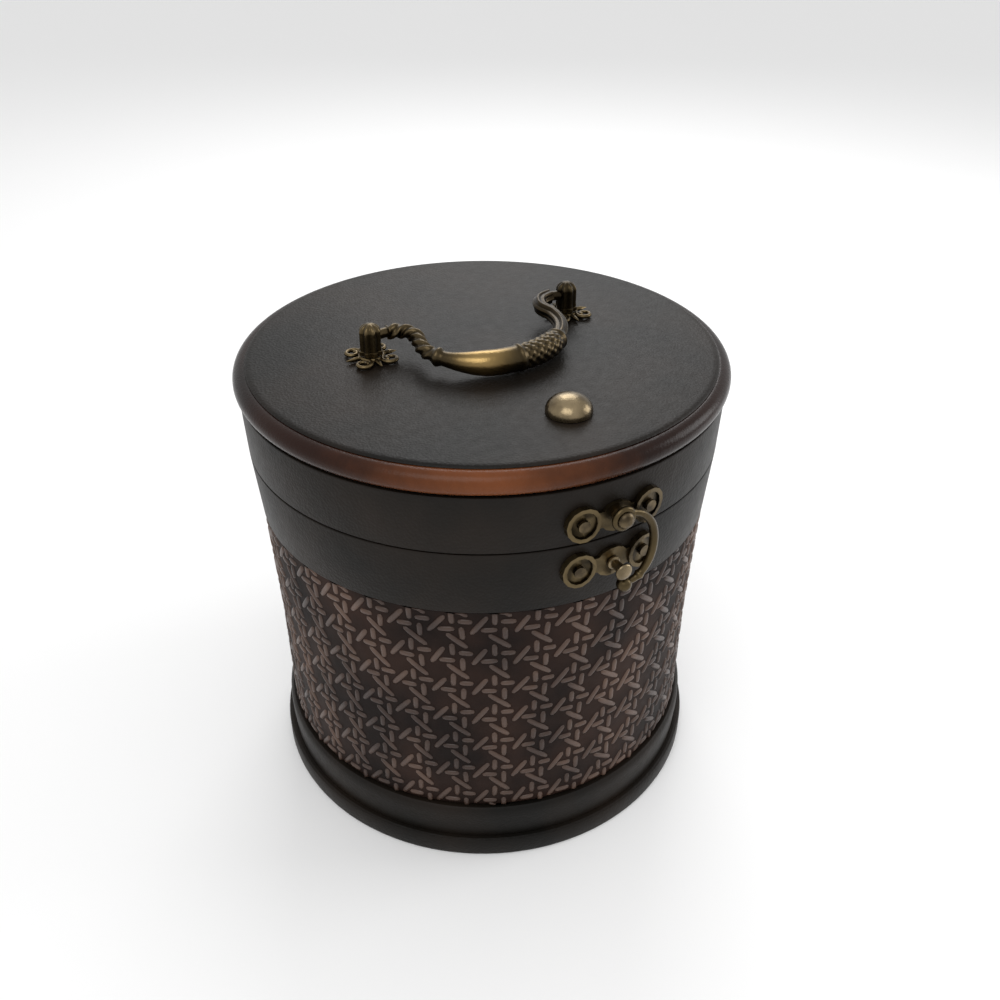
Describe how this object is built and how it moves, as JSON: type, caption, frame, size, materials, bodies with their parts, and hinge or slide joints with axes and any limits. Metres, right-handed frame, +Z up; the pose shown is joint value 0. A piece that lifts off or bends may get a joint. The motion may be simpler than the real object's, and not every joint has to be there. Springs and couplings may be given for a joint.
{
  "type": "round storage box",
  "caption": "Round covered storage box with a cane-weave wrap, a hinged lid with a swinging bail handle, and a hook latch at the front.",
  "frame": {"origin": "centre of the underside, on the surface that the box stands on", "axes": "+Z up, -Y to the latch at the front, +Y to the hinge, +X to the right of a person facing the latch"},
  "size_m": [0.2, 0.2118, 0.2109],
  "materials": {
    "leatherette": "satin covered board",
    "lid_edge": "glossy, rubbed red-brown",
    "woven_wrap": "embossed cane weave, satin",
    "board": "raw",
    "lining": "matt cloth",
    "bronze": "antiqued, dark in the hollows",
    "brass": "aged satin"
  },
  "bodies": {
    "box": {"base_board": "leatherette", "foot_band": "leatherette", "body_shell": "board", "woven_wrap": "woven_wrap", "upper_band": "leatherette", "side_lining": "lining", "floor_pad": "lining", "keeper_plate": "bronze", "keeper_screw_left": "brass", "keeper_screw_right": "brass", "keeper_stud": "brass", "hinge_leaf_lower": "bronze", "hinge_pin": "brass", "hinge_screw_lower_left": "brass", "hinge_screw_lower_right": "brass"},
    "lid": {"lid_board": "lid_edge", "lid_panel": "leatherette", "lid_skirt": "leatherette", "skirt_lining": "lining", "ceiling_pad": "lining", "top_stud": "brass", "handle_plate_left": "bronze", "handle_plate_right": "bronze", "handle_post_left": "bronze", "handle_post_right": "bronze", "handle_bolt_left": "brass", "handle_bolt_right": "brass", "latch_plate": "bronze", "latch_screw_left": "brass", "latch_screw_right": "brass", "latch_rivet": "brass", "hinge_leaf_upper": "bronze", "hinge_screw_upper_left": "brass", "hinge_screw_upper_right": "brass"},
    "bail": {"bail_handle": "bronze"},
    "hook": {"latch_hook": "bronze"}
  },
  "joints": [
    {"name": "lid_hinge", "type": "hinge", "parent": "box", "child": "lid", "pos_m": [0, 0.102, 0.1616], "axis": [-1, 0, 0], "range_deg": [0, 105]},
    {"name": "bail_swing", "type": "hinge", "parent": "lid", "child": "bail", "pos_m": [0, 0.0085, 0.2054], "axis": [-1, 0, 0], "range_deg": [0, 165]},
    {"name": "hook_swing", "type": "hinge", "parent": "lid", "child": "hook", "pos_m": [0, -0.10314, 0.172], "axis": [0, -1, 0], "range_deg": [0, 100]}
  ]
}
